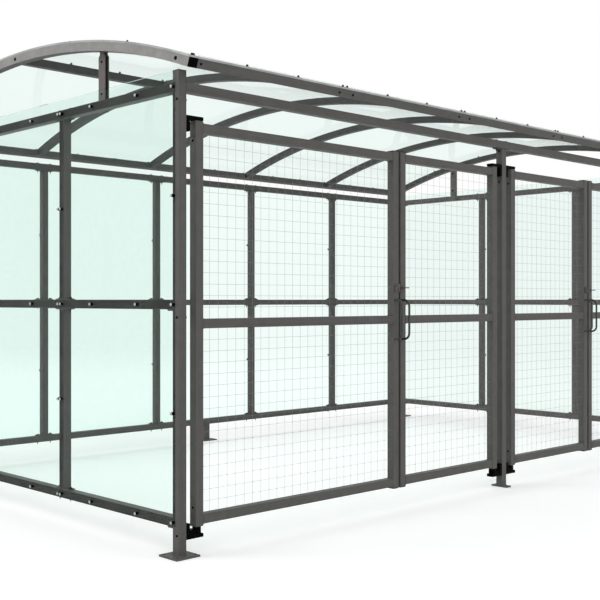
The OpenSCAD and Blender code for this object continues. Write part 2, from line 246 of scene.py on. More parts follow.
class ShelterSizes(bpy.types.PropertyGroup):
    """Sizes of the small pieces and of the view"""

    wire: bpy.props.FloatProperty(
        name="Wire", description="Thickness of the mesh wires", unit="LENGTH", default=0.0010)
    mesh_pitch: bpy.props.FloatProperty(
        name="Mesh pitch", description="Spacing of the mesh wires", unit="LENGTH", default=0.048)
    head_r: bpy.props.FloatProperty(
        name="Fixing head", description="Radius of the sheet fixings' heads", unit="LENGTH", default=0.0065)
    sleeve_r: bpy.props.FloatProperty(
        name="Fixing sleeve", description="Radius of the sheet fixings' sleeves",
        unit="LENGTH", default=0.0065)
    screw_r: bpy.props.FloatProperty(
        name="Screw head", description="Radius of the hexagon screw heads", unit="LENGTH", default=0.0065)
    roof_screw_r: bpy.props.FloatProperty(
        name="Roof screw", description="Radius of the roof screws' heads", unit="LENGTH", default=0.0045)
    bead: bpy.props.FloatProperty(
        name="Weld bead", description="Half the width of the weld beads", unit="LENGTH", default=0.003)
    cap_t: bpy.props.FloatProperty(
        name="Cap", description="Thickness of the tube caps", unit="LENGTH", default=0.003)
    lens: bpy.props.FloatProperty(
        name="Lens", description="Focal length of the camera", unit="CAMERA", default=61.23)
    camera_at: bpy.props.FloatVectorProperty(
        name="Camera", description="Place of the camera", subtype="TRANSLATION", size=3,
        default=(-4.7856, -4.6455, 1.0458))
    camera_turn: bpy.props.FloatProperty(
        name="Camera turn", description="Heading of the camera about the vertical",
        subtype="ANGLE", default=math.radians(-44.03))


def colours():
    """The colours that the panel sets."""
    return bpy.context.scene.shelter_colours


def sizes():
    """The sizes that the panel sets."""
    return bpy.context.scene.shelter_sizes


# Materials

def set_inputs(tree, node, inputs):
    """Sets a node's inputs to values, or links them to other nodes' outputs."""
    for key, value in inputs.items():
        if isinstance(value, bpy.types.NodeSocket):
            tree.links.new(value, node.inputs[key])
        else:
            node.inputs[key].default_value = value


def add_node(tree, kind, inputs=None, **settings):
    """A new node with its settings and inputs."""
    node = tree.nodes.new(kind)
    for key, value in settings.items():
        setattr(node, key, value)
    set_inputs(tree, node, inputs or {})
    return node


def new_material(name):
    """A new material, its node tree and its shader."""
    material = bpy.data.materials.new(name)
    material.use_nodes = True
    tree = material.node_tree
    return material, tree, tree.nodes["Principled BSDF"]


def noise(tree, scale, detail=2.0, stretch=None):
    """Noise on the piece's own coordinates, drawn out along an axis where stretch says so."""
    place = add_node(tree, "ShaderNodeTexCoord").outputs["Object"]
    if stretch:
        place = add_node(tree, "ShaderNodeMapping", {"Vector": place, "Scale": stretch}).outputs[0]
    return add_node(
        tree, "ShaderNodeTexNoise", {"Vector": place, "Scale": scale, "Detail": detail}).outputs[0]


def spread(tree, value, low, high, start=0.3, end=0.7):
    """Maps the middle of a noise's range to low and high."""
    return add_node(tree, "ShaderNodeMapRange", {
        "Value": value, "From Min": start, "From Max": end, "To Min": low, "To Max": high}).outputs[0]


def add_up(tree, *values):
    """The sum of some values."""
    total = values[0]
    for value in values[1:]:
        total = add_node(tree, "ShaderNodeMath", {0: total, 1: value}, operation="ADD").outputs[0]
    return total


def two_tone(tree, factor, colour, contrast):
    """The colour made darker and lighter by contrast, mixed by a factor."""
    dark = [c * (1 - contrast) for c in colour] + [1]
    light = [min(1, c * (1 + contrast)) for c in colour] + [1]
    # A mix of colours uses the inputs 6 and 7 and the output 2
    return add_node(
        tree, "ShaderNodeMix", {0: factor, 6: dark, 7: light}, data_type="RGBA").outputs[2]


def bump(tree, height, strength, distance):
    """A surface direction that follows a height."""
    return add_node(tree, "ShaderNodeBump", {
        "Height": height, "Strength": strength, "Distance": distance}).outputs[0]


# Stretch of the streaks: short across a tube and long along it, and along Y on the arches' trim
STREAKS = {"X": (1.2, 90, 90), "Y": (90, 1.2, 90), "Z": (90, 90, 1.2), "arch": (30, 9, 30)}


def paint(name, colour, along, rough=0.52):
    """Powder coat with cloudy patches, fine grain, orange peel and faint streaks along the tube."""
    material, tree, shader = new_material(name)
    cloud = spread(tree, noise(tree, scale=26, detail=4), low=0, high=0.40)
    streak = spread(tree, noise(tree, scale=1.0, stretch=STREAKS[along]), low=0, high=0.40)
    grain = noise(tree, scale=420, detail=1)
    tone = add_up(tree, cloud, streak, spread(tree, grain, low=0, high=0.20))
    set_inputs(tree, shader, {
        "Base Color": two_tone(tree, tone, colour, contrast=0.17),
        "Specular IOR Level": 0.25,
        "Roughness": spread(tree, grain, rough - 0.06, rough + 0.08),
        "Normal": bump(tree, noise(tree, scale=260), strength=0.12, distance=0.0006),
    })
    return material


def clear_sheet(name, colour):
    """Clear extruded sheet: a faint tint that clouds a little, and slow waves in its surface."""
    material, tree, shader = new_material(name)
    cloud = spread(tree, noise(tree, scale=38, detail=3), low=0, high=1)
    set_inputs(tree, shader, {
        "Base Color": two_tone(tree, cloud, colour, contrast=0.007),
        "Transmission Weight": 1.0,
        "IOR": 1.02,
        "Roughness": 0.0,
        "Coat Weight": 0.08,
        "Coat Roughness": 0.04,
        "Normal": bump(tree, noise(tree, scale=1.6, detail=1), strength=0.02, distance=0.004),
    })
    return material


def zinc_plate(name, colour, rough=0.34, metal=0.85):
    """Bright zinc with a small spangle."""
    material, tree, shader = new_material(name)
    spangle = noise(tree, scale=180, detail=3)
    set_inputs(tree, shader, {
        "Base Color": two_tone(tree, spread(tree, spangle, low=0, high=1), colour, contrast=0.12),
        "Metallic": metal,
        "Roughness": spread(tree, spangle, rough - 0.08, rough + 0.10),
        "Normal": bump(tree, spangle, strength=0.06, distance=0.0004),
    })
    return material


def moulded(name, colour, rough=0.5, grain_scale=700, gloss=0.03):
    """Plain moulded plastic or rubber, or dark steel, with a fine grain."""
    material, tree, shader = new_material(name)
    grain = noise(tree, grain_scale)
    cloud = spread(tree, noise(tree, scale=9), low=0, high=1)
    set_inputs(tree, shader, {
        "Base Color": two_tone(tree, cloud, colour, contrast=0.18),
        "Specular IOR Level": gloss,
        "Roughness": spread(tree, grain, rough - 0.08, rough + 0.10),
        "Normal": bump(tree, grain, strength=0.15, distance=0.0004),
    })
    return material


def finish(name, maker, colour, **values):
    """A finish that is made once and used by name."""
    return bpy.data.materials.get(name) or maker(name, colour, **values)


def tube_paint(part, along):
    """Paint of the frame, of its end walls or of its inner members, with streaks along their tubes; the end
    walls' copy is lighter as painted light and the inner copy darker as painted shade.
    """
    shades = {"frame": colours().paint, "end wall": colours().end_paint, "inner": colours().inner_paint}
    return finish(f"{part} paint {along}", paint, shades[part], along=along)


def zinc():
    """Zinc of the fixings' heads and the washers."""
    return finish("bright zinc", zinc_plate, colours().zinc)


def zinc_wire():
    """Duller zinc of the gates' wires."""
    return finish("zinc wire", zinc_plate, colours().wire, rough=0.40, metal=0.40)


def dark_steel():
    """Dark steel of the bolts, nuts and hexagon screws."""
    return finish("dark bolt steel", moulded, BOLT_STEEL, rough=0.42, grain_scale=900)


def black_plastic():
    """Black plastic of the plugs, caps and hinge brackets."""
    return finish("black plastic", moulded, colours().plastic, rough=0.52)


# Modelling helpers

def begin(add, name, **values):
    """Adds a primitive with nothing else selected, ready to be edited by its points, and names it."""
    bpy.context.tool_settings.mesh_select_mode = (True, False, False)
    bpy.ops.object.select_all(action="DESELECT")
    add(**values)
    made = bpy.context.object
    made.name = name
    made.data.name = name
    return made


def pick(made):
    """Makes an object the only one that is selected, and the active one."""
    bpy.ops.object.select_all(action="DESELECT")
    made.select_set(True)
    bpy.context.view_layer.objects.active = made


def in_place(made):
    """Puts a piece's place, turn and scale into its mesh."""
    pick(made)
    bpy.ops.object.transform_apply(location=True, rotation=True, scale=True)


def open_mesh(made):
    """Starts to edit a mesh, with all of it selected."""
    pick(made)
    bpy.ops.object.mode_set(mode="EDIT")
    bpy.ops.mesh.select_all(action="SELECT")


def close_mesh():
    """Ends the edit of a mesh."""
    bpy.ops.object.mode_set(mode="OBJECT")


def edit(made, kind, test, action):
    """Runs an edit on those faces or edges of a mesh that pass a test."""
    pick(made)
    bpy.ops.object.mode_set(mode="EDIT")
    bpy.ops.mesh.select_mode(type=kind)
    bpy.ops.mesh.select_all(action="DESELECT")
    mesh = bmesh.from_edit_mesh(made.data)
    for part in mesh.faces if kind == "FACE" else mesh.edges:
        part.select_set(test(part))
    bmesh.update_edit_mesh(made.data)
    action()
    close_mesh()


LEVEL = 0.9  # the least upward part of a normal that counts as level


def faces_up(face):
    """Whether a face points up."""
    return face.normal.z > LEVEL


def faces_down(face):
    """Whether a face points down."""
    return face.normal.z < -LEVEL


def soften(offset, segments):
    """Bevels the edges that are selected."""
    bpy.ops.mesh.bevel(offset=offset, segments=segments, affect="EDGES")


def draw_out(*move):
    """Extrudes what is selected by a move."""
    bpy.ops.mesh.extrude_region_move(TRANSFORM_OT_translate={"value": move})


def make_outward(made):
    """Points the faces of a mesh outwards."""
    open_mesh(made)
    bpy.ops.mesh.normals_make_consistent(inside=False)
    close_mesh()


def smooth(made, angle=35):
    """Shades a piece smooth across edges up to an angle in degrees."""
    pick(made)
    bpy.ops.object.shade_smooth_by_angle(angle=math.radians(angle))
    return made


def join(name, *parts):
    """Joins parts into the first one, and names it."""
    bpy.ops.object.select_all(action="DESELECT")
    for part in parts:
        part.select_set(True)
    bpy.context.view_layer.objects.active = parts[0]
    bpy.ops.object.join()
    parts[0].name = name
    parts[0].data.name = name
    return parts[0]


def apply_modifier(made, kind, **settings):
    """Adds a modifier with its settings, and applies it."""
    modifier = made.modifiers.new(kind.title(), kind)
    for key, value in settings.items():
        setattr(modifier, key, value)
    pick(made)
    bpy.ops.object.modifier_apply(modifier=modifier.name)


def at(point, outward=Z_AXIS, turn=0.0):
    """The place of a copy whose own Z points outward."""
    aim = outward.to_track_quat("Z", "Y").to_matrix().to_4x4()
    return Matrix.Translation(point) @ aim @ Matrix.Rotation(turn, 4, "Z")


def set_out(pattern, places, name, body, material):
    """One piece with a copy of the pattern at each place; the pattern stays for the next call."""
    joined = bmesh.new()
    for place in places:
        copy = pattern.data.copy()
        copy.transform(place)
        joined.from_mesh(copy)
        bpy.data.meshes.remove(copy)
    mesh = bpy.data.meshes.new(name)
    joined.to_mesh(mesh)
    joined.free()
    mesh.materials.clear()
    mesh.materials.append(material)
    piece = bpy.data.objects.new(name, mesh)
    bpy.context.scene.collection.objects.link(piece)
    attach(piece, body)


def put_away(*patterns):
    """Removes patterns that have been set out."""
    for pattern in patterns:
        bpy.data.objects.remove(pattern)


# Patterns of the small pieces; heads, sleeves, points and caps stand on Z = 0 and point up
DOME_FLANGE = 0.35  # of the head's height
DOME_STEP = 0.12  # of the head's radius
DOME_ROUND = 0.60  # of the head's height
SLEEVE_ROUND = 0.15  # of the sleeve's height
HEX_FLANGE = 0.28  # of the head's height
HEX_FLANGE_R = 1.45  # of the hexagon's radius
HEX_CHAMFER = 0.12  # of the head's height
POINT_L = 0.6  # of the tip's length
POINT_R = 0.08  # of the shank's radius
CAP_CORNER = 0.04  # of the tube's side
CAP_ROUND = 0.45  # of the cap's thickness
WASHER_ROUND = 0.25  # of the washer's thickness
RIPPLES = 44
RIPPLE_H = 0.14  # of the bead's width
SQUARENESS = 24


def dome_head(radius, height, base=0.0):
    """Round head with a domed top and a small flat flange."""
    flange_h = height * DOME_FLANGE
    head = begin(bpy.ops.mesh.primitive_cylinder_add, "dome head", vertices=12, radius=radius,
                 depth=flange_h, location=(0, 0, base + flange_h / 2))
    in_place(head)

    def raise_dome():
        bpy.ops.mesh.inset(thickness=radius * DOME_STEP, depth=0)
        draw_out(0, 0, height - flange_h)
        soften(height * DOME_ROUND, 2)

    edit(head, "FACE", faces_up, raise_dome)
    return smooth(head)


def sleeve(radius, height):
    """Short round sleeve with a soft upper edge."""
    made = begin(bpy.ops.mesh.primitive_cylinder_add, "sleeve", vertices=12, radius=radius, depth=height,
                 location=(0, 0, height / 2))
    in_place(made)
    edit(made, "FACE", faces_up, lambda: soften(height * SLEEVE_ROUND, 1))
    return smooth(made)


def hex_head(radius, height):
    """Hexagon head with chamfered corners on a round flange."""
    flange_h = height * HEX_FLANGE
    flange = sleeve(radius * HEX_FLANGE_R, flange_h)
    nut = begin(bpy.ops.mesh.primitive_cylinder_add, "hexagon", vertices=6, radius=radius,
                depth=height - flange_h, location=(0, 0, (height + flange_h) / 2))
    in_place(nut)
    edit(nut, "FACE", faces_up, lambda: soften(height * HEX_CHAMFER, 2))
    return smooth(join("hexagon head", flange, smooth(nut)))


def screw_tip(radius, length):
    """End of a drilling screw: a short shank that runs out to a point."""
    point_l = length * POINT_L
    tip = begin(bpy.ops.mesh.primitive_cone_add, "screw tip", vertices=12, radius1=radius,
                radius2=radius * POINT_R, depth=point_l, location=(0, 0, length - point_l / 2))
    in_place(tip)
    edit(tip, "FACE", faces_down, lambda: draw_out(0, 0, point_l - length))
    return smooth(tip)


def tube_cap(side, thick):
    """Cap on a tube's end, with round corners and a soft upper edge."""
    cap = begin(bpy.ops.mesh.primitive_cube_add, "tube cap", size=1, location=(0, 0, thick / 2))
    cap.scale = (side, side, thick)
    in_place(cap)

    def upright(edge):
        return abs(edge.verts[0].co.z - edge.verts[1].co.z) > thick / 2

    edit(cap, "EDGE", upright, lambda: soften(side * CAP_CORNER, 2))
    edit(cap, "FACE", faces_up, lambda: soften(thick * CAP_ROUND, 3))
    return smooth(cap)


def weld_ring(side, bead):
    """Rippled weld bead round a square tube, in the plane Z = 0."""
    ring = begin(bpy.ops.mesh.primitive_torus_add, "weld ring", major_radius=side / 2,
                 minor_radius=bead, major_segments=88, minor_segments=6)
    for vertex in ring.data.vertices:
        turn = math.atan2(vertex.co.y, vertex.co.x)
        across = math.hypot(vertex.co.x, vertex.co.y) - side / 2
        ripple = 1 + RIPPLE_H * math.sin(RIPPLES * turn)
        corner = abs(math.cos(turn)) ** SQUARENESS + abs(math.sin(turn)) ** SQUARENESS
        reach = side / 2 / corner ** (1 / SQUARENESS) + across * ripple
        vertex.co = (reach * math.cos(turn), reach * math.sin(turn), vertex.co.z * ripple)
    return smooth(ring, 60)


def washer(outer, inner, thick):
    """Flat ring in the plane Z = 0."""
    ring = begin(bpy.ops.mesh.primitive_circle_add, "washer", vertices=32, radius=outer, fill_type="NOTHING")
    open_mesh(ring)
    bpy.ops.mesh.extrude_region_move()
    bpy.ops.transform.resize(value=(inner / outer, inner / outer, 1), center_override=(0, 0, 0))
    close_mesh()
    make_outward(ring)
    apply_modifier(ring, "SOLIDIFY", thickness=thick, offset=0)
    apply_modifier(ring, "BEVEL", width=thick * WASHER_ROUND, segments=2)
    return smooth(ring)


def soft_box(low, high, name, edge):
    """Box between two corners with a soft edge."""
    made = begin(bpy.ops.mesh.primitive_cube_add, name, size=1, location=(low + high) / 2)
    made.scale = high - low
    in_place(made)
    apply_modifier(made, "BEVEL", width=edge, segments=1)
    return made


# Places on the roof, the walls and the gates; a roof angle is positive to the rear

def roof_out(angle):
    """Away from the roof's axis."""
    return Vector((0, math.sin(angle), math.cos(angle)))


def roof_down(angle):
    """Along the roof, away from the ridge."""
    return math.copysign(1, angle) * Vector((0, math.cos(angle), -math.sin(angle)))


def on_roof(x, angle, radius):
    """A place at a distance from the roof's axis."""
    return Vector((x, 0, ROOF_AXIS_Z)) + radius * roof_out(angle)


def upright_lines():
    """Places on the ground of the uprights in the rear wall and the end walls."""
    rear = [Vector((x, SIDE_Y, 0)) for x in LINE_XS[1:-1]]
    return rear + [Vector((x, y, 0)) for x in (-END_X, END_X) for y in LINE_YS[1:-1]]


def leaf_xs(gate):
    """Places along X of a leaf's hanging stile and of its meeting stile, when it is closed."""
    low, high = (corner.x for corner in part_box(f"{gate}_stiles"))
    ends = (low + HALF, high - HALF)
    return ends if gate in HUNG_AT_LOW_X else ends[::-1]


class SHELTER_OT_stage(bpy.types.Operator):
    """Pale floor, soft light and a camera at the photograph's view"""

    bl_idname = "shelter.stage"
    bl_label = "Stage"

    def execute(self, context):
        floor = begin(bpy.ops.mesh.primitive_plane_add, "floor", size=FLOOR_SIZE)
        material, tree, shader = new_material("studio floor")
        seen = self.seen_rays(tree)
        set_inputs(tree, shader, {
            "Base Color": (*colours().floor, 1),
            "Roughness": 0.9,
            "Specular IOR Level": 0.0,
            "Emission Color": WHITE,
            "Emission Strength": spread(tree, seen, 0, FLOOR_GLOW, start=0, end=1),
        })
        self.fade_out(tree, shader, seen)
        floor.data.materials.append(material)
        self.light_world(context)
        for name, (place, watts) in LAMPS.items():
            self.add_lamp(name, place, watts)
        self.add_camera(context)
        return {"FINISHED"}

    def seen_rays(self, tree):
        """1 for the rays that show the background: straight, mirrored or through a sheet."""
        rays = add_node(tree, "ShaderNodeLightPath").outputs
        seen = add_up(tree, rays["Is Camera Ray"], rays["Is Glossy Ray"], rays["Is Transmission Ray"])
        return add_node(tree, "ShaderNodeMath", {0: seen, 1: 1.0}, operation="MINIMUM").outputs[0]

    def fade_out(self, tree, shader, seen):
        """Lets the far floor run out into the white background."""
        place = add_node(tree, "ShaderNodeTexCoord").outputs["Object"]
        reach = add_node(tree, "ShaderNodeVectorMath", {0: place}, operation="LENGTH").outputs["Value"]
        far = add_node(tree, "ShaderNodeMath", {
            0: spread(tree, reach, 0, 1, *FLOOR_FADE), 1: seen}, operation="MULTIPLY").outputs[0]
        white = add_node(tree, "ShaderNodeEmission", {"Color": WHITE, "Strength": 1.0})
        mix = add_node(tree, "ShaderNodeMixShader", {0: far, 1: shader.outputs[0], 2: white.outputs[0]})
        tree.links.new(mix.outputs[0], tree.nodes["Material Output"].inputs["Surface"])

    def light_world(self, context):
        """Even light from all sides, and pure white where the background shows."""
        world = bpy.data.worlds.new("studio")
        world.use_nodes = True
        tree = world.node_tree
        light = tree.nodes["Background"]
        set_inputs(tree, light, {"Color": WHITE, "Strength": ROOM_LIGHT})
        white = add_node(tree, "ShaderNodeBackground", {"Color": WHITE, "Strength": 1.0})
        mix = add_node(tree, "ShaderNodeMixShader", {
            0: self.seen_rays(tree), 1: light.outputs[0], 2: white.outputs[0]})
        tree.links.new(mix.outputs[0], tree.nodes["World Output"].inputs["Surface"])
        context.scene.world = world
        context.scene.view_settings.view_transform = "Standard"

    def add_lamp(self, name, place, watts):
        """Wide square lamp that shines at the shelter."""
        bpy.ops.object.select_all(action="DESELECT")
        aim = LAMP_AIM - Vector(place)
        bpy.ops.object.light_add(
            type="AREA", location=place, rotation=aim.to_track_quat("-Z", "Y").to_euler())
        lamp = bpy.context.object
        lamp.name = name
        lamp.data.size = LAMP_SIZE
        lamp.data.energy = watts

    def add_camera(self, context):
        """Level camera at the photograph's view."""
        view = sizes()
        bpy.ops.object.select_all(action="DESELECT")
        bpy.ops.object.camera_add(
            location=view.camera_at, rotation=(math.radians(90), 0, view.camera_turn))
        camera = bpy.context.object
        camera.data.sensor_width = SENSOR_W
        camera.data.lens = view.lens
        camera.data.shift_y = CAMERA_SHIFT
        context.scene.camera = camera


class SHELTER_OT_finishes(bpy.types.Operator):
    """Coats on the frame, trim, brackets and sheets"""

    bl_idname = "shelter.finishes"
    bl_label = "Finishes"

    def execute(self, context):
        for part, ways in TUBES.items():
            for along, nodes in ways.items():
                self.coat(nodes, tube_paint(part, along))
        for gate in GATES:
            self.coat([f"{gate}_stiles", f"{gate}_handle"], tube_paint("frame", "Z"))
            self.coat([f"{gate}_rails"], tube_paint("frame", "X"))
        tints = colours()
        self.coat(["end_arch_trims"], finish("trim paint", paint, tints.trim, along="arch", rough=0.60))
        self.coat(["end_arch_plugs", "top_hinge_brackets", "bottom_hinge_brackets"], black_plastic())
        self.coat(["end_wall_sheets"], finish("clear end sheet", clear_sheet, tints.end_clear))
        self.coat(["rear_wall_sheets"], finish("clear rear sheet", clear_sheet, tints.rear_clear))
        self.coat(["roof_sheets"], finish("clear roof sheet", clear_sheet, tints.roof_clear))
        return {"FINISHED"}

    def coat(self, nodes, material):
        """Gives nodes one finish."""
        for node in nodes:
            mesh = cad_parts[node].data
            mesh.materials.clear()
            mesh.materials.append(material)


class SHELTER_OT_gate_mesh(bpy.types.Operator):
    """Welded panels of round wire in the gates"""

    bl_idname = "shelter.gate_mesh"
    bl_label = "Gate mesh"

    def execute(self, context):
        for gate in GATES:
            for row in ("upper", "lower"):
                node = f"{gate}_{row}_mesh"
                panel = self.panel(*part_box(node), f"{gate}_{row}_wires")
                panel.data.materials.append(zinc_wire())
                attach(panel, gate)
                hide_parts(node)
        return {"FINISHED"}

    def panel(self, low, high, name):
        """Upright wires in front of level ones, sunk into each other a little at the welds."""
        wire, pitch = sizes().wire, sizes().mesh_pitch
        span, middle = high - low, (low + high) / 2
        across, up = round(span.x / pitch), round(span.z / pitch)
        off = Y_AXIS * wire * WIRE_OFF
        uprights = self.row(
            "upright wires", wire, span.z, Vector((low.x + span.x / across, middle.y, middle.z)) - off,
            (0, 0, 0), X_AXIS * span.x / across, across - 1)
        levels = self.row(
            "level wires", wire, span.x, Vector((middle.x, middle.y, low.z + span.z / up)) + off,
            (0, math.radians(90), 0), Z_AXIS * span.z / up, up - 1)
        return smooth(join(name, uprights, levels), 60)

    def row(self, name, wire, length, place, turn, step, count):
        """Equal round wires, one step apart."""
        bar = begin(bpy.ops.mesh.primitive_cylinder_add, name, vertices=8, radius=wire / 2, depth=length,
                    location=place, rotation=turn)
        in_place(bar)
        apply_modifier(bar, "ARRAY", count=count, use_relative_offset=False,
                       use_constant_offset=True, constant_offset_displace=step)
        return bar


class SHELTER_OT_welds(bpy.types.Operator):
    """Weld beads round the posts' feet, the uprights' ends and the gates' rails"""

    bl_idname = "shelter.welds"
    bl_label = "Welds"

    def execute(self, context):
        bead = sizes().bead
        foot = weld_ring(TUBE, bead * FOOT_BEAD)
        feet = [at((x, y, PLATE_TOP)) for x in (-END_X, 0, END_X) for y in (-SIDE_Y, SIDE_Y)]
        set_out(foot, feet, "post_foot_welds", SHELTER, tube_paint("frame", "Z"))
        ring = weld_ring(TUBE, bead)
        reach = HALF + END_PLATE_T
        heights = [z + reach for z in RAIL_ZS[:-1]] + [z - reach for z in RAIL_ZS[1:]]
        ends = [at(line + Z_AXIS * z) for line in upright_lines() for z in heights]
        ends.append(at((0, -SIDE_Y, RAIL_ZS[-1] - reach)))
        # The uprights' end welds take the inner paint, a darker copy as painted shade
        set_out(ring, ends, "upright_end_welds", SHELTER, tube_paint("inner", "Z"))
        for gate in GATES:
            low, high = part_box(f"{gate}_rails")
            places = [at((x, -SIDE_Y, z), X_AXIS) for x in (low.x, high.x)
                      for z in (low.z + HALF, (low.z + high.z) / 2, high.z - HALF)]
            set_out(ring, places, f"{gate}_welds", gate, tube_paint("frame", "X"))
        put_away(foot, ring)
        return {"FINISHED"}


class SHELTER_OT_caps(bpy.types.Operator):
    """Black caps in the open ends of the posts and of the gates' meeting stiles"""

    bl_idname = "shelter.caps"
    bl_label = "Tube caps"

    def execute(self, context):
        cap = tube_cap(TUBE, sizes().cap_t)
        tops = [at((x, y, POST_TOP)) for x in (-END_X, END_X) for y in (-SIDE_Y, SIDE_Y)]
        set_out(cap, tops, "post_caps", SHELTER, black_plastic())
        for gate in GATES:
            x = leaf_xs(gate)[1]
            places = [at((x, -SIDE_Y, LEAF_TOP)), at((x, -SIDE_Y, LEAF_BOTTOM), -Z_AXIS)]
            set_out(cap, places, f"{gate}_caps", gate, black_plastic())
        put_away(cap)
        return {"FINISHED"}


class SHELTER_OT_sealing_tape(bpy.types.Operator):
    """Dark tape between the frame and the wall sheets: sealing tape, and painted shade that the sheets cast
    on the frame
    """

    bl_idname = "shelter.sealing_tape"
    bl_label = "Sealing tape"

    def execute(self, context):
        # The tape's dark colour is partly sealing tape and partly painted shade from the sheets
        tape = finish("sealing tape", moulded, colours().tape, rough=0.75, grain_scale=500)
        for name, side in (("left", -1), ("right", 1)):
            turn = Matrix(((0, 0, side), (1, 0, 0), (0, 1, 0))).to_4x4()
            self.wall(f"{name}_wall_shade_tape", LINE_YS, Matrix.Translation((side * FRAME_X, 0, 0)) @ turn, tape)
        turn = Matrix(((1, 0, 0), (0, 0, 1), (0, 1, 0))).to_4x4()
        self.wall("rear_wall_shade_tape", LINE_XS, Matrix.Translation((0, FRAME_Y, 0)) @ turn, tape)
        return {"FINISHED"}

    def wall(self, name, lines, place, material):
        """Strips drawn flat, with the wall's length along X, its height along Y and outward along Z."""
        reach = HALF - TAPE_MARGIN
        start, end = lines[0] + SHEET_EDGE, lines[-1] - SHEET_EDGE
        strips = [self.strip(start, z - reach, end, z + reach) for z in RAIL_ZS]
        for low, high in zip(RAIL_ZS, RAIL_ZS[1:]):
            z0, z1 = low + reach + TAPE_T, high - reach - TAPE_T
            strips += [self.strip(x - reach, z0, x + reach, z1) for x in lines[1:-1]]
            strips.append(self.strip(start, z0, lines[0] + reach, z1))
            strips.append(self.strip(lines[-1] - reach, z0, end, z1))
        tape = join(name, *strips)
        tape.data.transform(place)
        make_outward(tape)
        tape.data.materials.append(material)
        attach(tape, SHELTER)

    def strip(self, x0, y0, x1, y1):
        """One flat strip with soft edges."""
        low, high = Vector((x0, y0, TAPE_BASE)), Vector((x1, y1, TAPE_T))
        return soft_box(low, high, "tape strip", TAPE_EDGE)


class SHELTER_OT_wall_fixings(bpy.types.Operator):
    """Domed fixings that hold the wall sheets, each on a near-black rubber sleeve through the sheet, which
    also stands in as painted shade beside each head
    """

    bl_idname = "shelter.wall_fixings"
    bl_label = "Wall fixings"

    def execute(self, context):
        stem = sleeve(sizes().sleeve_r, FIXING_H - FIXING_HEAD_H)
        head = dome_head(sizes().head_r, FIXING_HEAD_H, FIXING_H - FIXING_HEAD_H)
        # The sleeves' near-black is partly rubber and partly painted shade beside each head
        rubber = finish("fixing sleeve", moulded, SLEEVE_RUBBER_AND_SHADE, rough=0.6, grain_scale=600)
        walls = {
            "left_wall": [at((-FRAME_X, y, z), -X_AXIS) for y, z in self.spots(LINE_YS)],
            "right_wall": [at((FRAME_X, y, z), X_AXIS) for y, z in self.spots(LINE_YS)],
            "rear_wall": [at((x, FRAME_Y, z), Y_AXIS) for x, z in self.spots(LINE_XS)],
        }
        for name, places in walls.items():
            set_out(stem, places, f"{name}_fixing_sleeves_and_shade", SHELTER, rubber)
            set_out(head, places, f"{name}_fixing_heads", SHELTER, zinc())
        put_away(stem, head)
        return {"FINISHED"}

    def spots(self, lines):
        """Places along a wall and up it: four to a sheet on each rail, and its edges between the rails."""
        found = []
        for start, end in zip(lines, lines[1:]):
            edges = (start + FIXING_EDGE, end - FIXING_EDGE)
            inner = tuple(start + (end - start) * share for share in FIXING_SHARES)
            found += [(x, z) for x in edges + inner for z in RAIL_ZS]
            found += [(x, (low + high) / 2) for x in edges for low, high in zip(RAIL_ZS, RAIL_ZS[1:])]
        return found


class SHELTER_OT_plate_screws(bpy.types.Operator):
    """Drilling screws through the uprights' end plates and the rails, with their points showing"""

    bl_idname = "shelter.plate_screws"
    bl_label = "Plate screws"

    def execute(self, context):
        head = hex_head(sizes().screw_r, SCREW_H)
        tip = screw_tip(SCREW_SHANK_R, SCREW_TIP_L)
        heads, tips = [], []
        for line in upright_lines():
            along = Y_AXIS if abs(abs(line.x) - END_X) < HALF else X_AXIS
            for side in (-1, 1):
                spot = line + along * side * PLATE_SCREW_OUT
                for level, z in enumerate(RAIL_ZS):
                    over = END_PLATE_T if level < len(RAIL_ZS) - 1 else 0
                    under = END_PLATE_T if level else 0
                    heads.append(at(spot + Z_AXIS * (z + HALF + over), turn=side))
                    tips.append(at(spot + Z_AXIS * (z - HALF - under), -Z_AXIS))
        for side in (-1, 1):
            spot = Vector((side * PLATE_SCREW_OUT, -SIDE_Y, RAIL_ZS[-1]))
            heads.append(at(spot + Z_AXIS * HALF, turn=side))
            tips.append(at(spot - Z_AXIS * (HALF + END_PLATE_T), -Z_AXIS))
        set_out(head, heads, "plate_screw_heads", SHELTER, dark_steel())
        set_out(tip, tips, "plate_screw_points", SHELTER, dark_steel())
        put_away(head, tip)
        return {"FINISHED"}


class SHELTER_OT_roof_screws(bpy.types.Operator):
    """Hexagon screws that hold the roof sheets to the eaves, the ridge and the end arches"""

    bl_idname = "shelter.roof_screws"
    bl_label = "Roof screws"

    def execute(self, context):
        head = hex_head(sizes().roof_screw_r, ROOF_SCREW_H)
        spots = []
        for start, end in zip(LINE_XS, LINE_XS[1:]):
            thirds = [start + (end - start) / 3, end - (end - start) / 3]
            edges = [start + ROOF_SCREW_EDGE, end - ROOF_SCREW_EDGE]
            spots += [(x, a) for x in thirds + edges for a in (-EAVE_A, EAVE_A)]
            spots += [(x, 0.0) for x in thirds]
        for x in LINE_XS[1:-1]:
            spots += [(x - ROOF_SCREW_EDGE, 0.0), (x + ROOF_SCREW_EDGE, 0.0)]
        for x in (-END_ARCH_X, END_ARCH_X):
            steps = range(-END_ARCH_STEPS, END_ARCH_STEPS + 1)
            spots += [(x, EAVE_A * step / END_ARCH_STEPS) for step in steps]
        places = [at(on_roof(x, a, ROOF_OUT_R), roof_out(a), turn=x * ROOF_SCREW_TURN) for x, a in spots]
        set_out(head, places, "roof_screws", SHELTER, dark_steel())
        put_away(head)
        return {"FINISHED"}


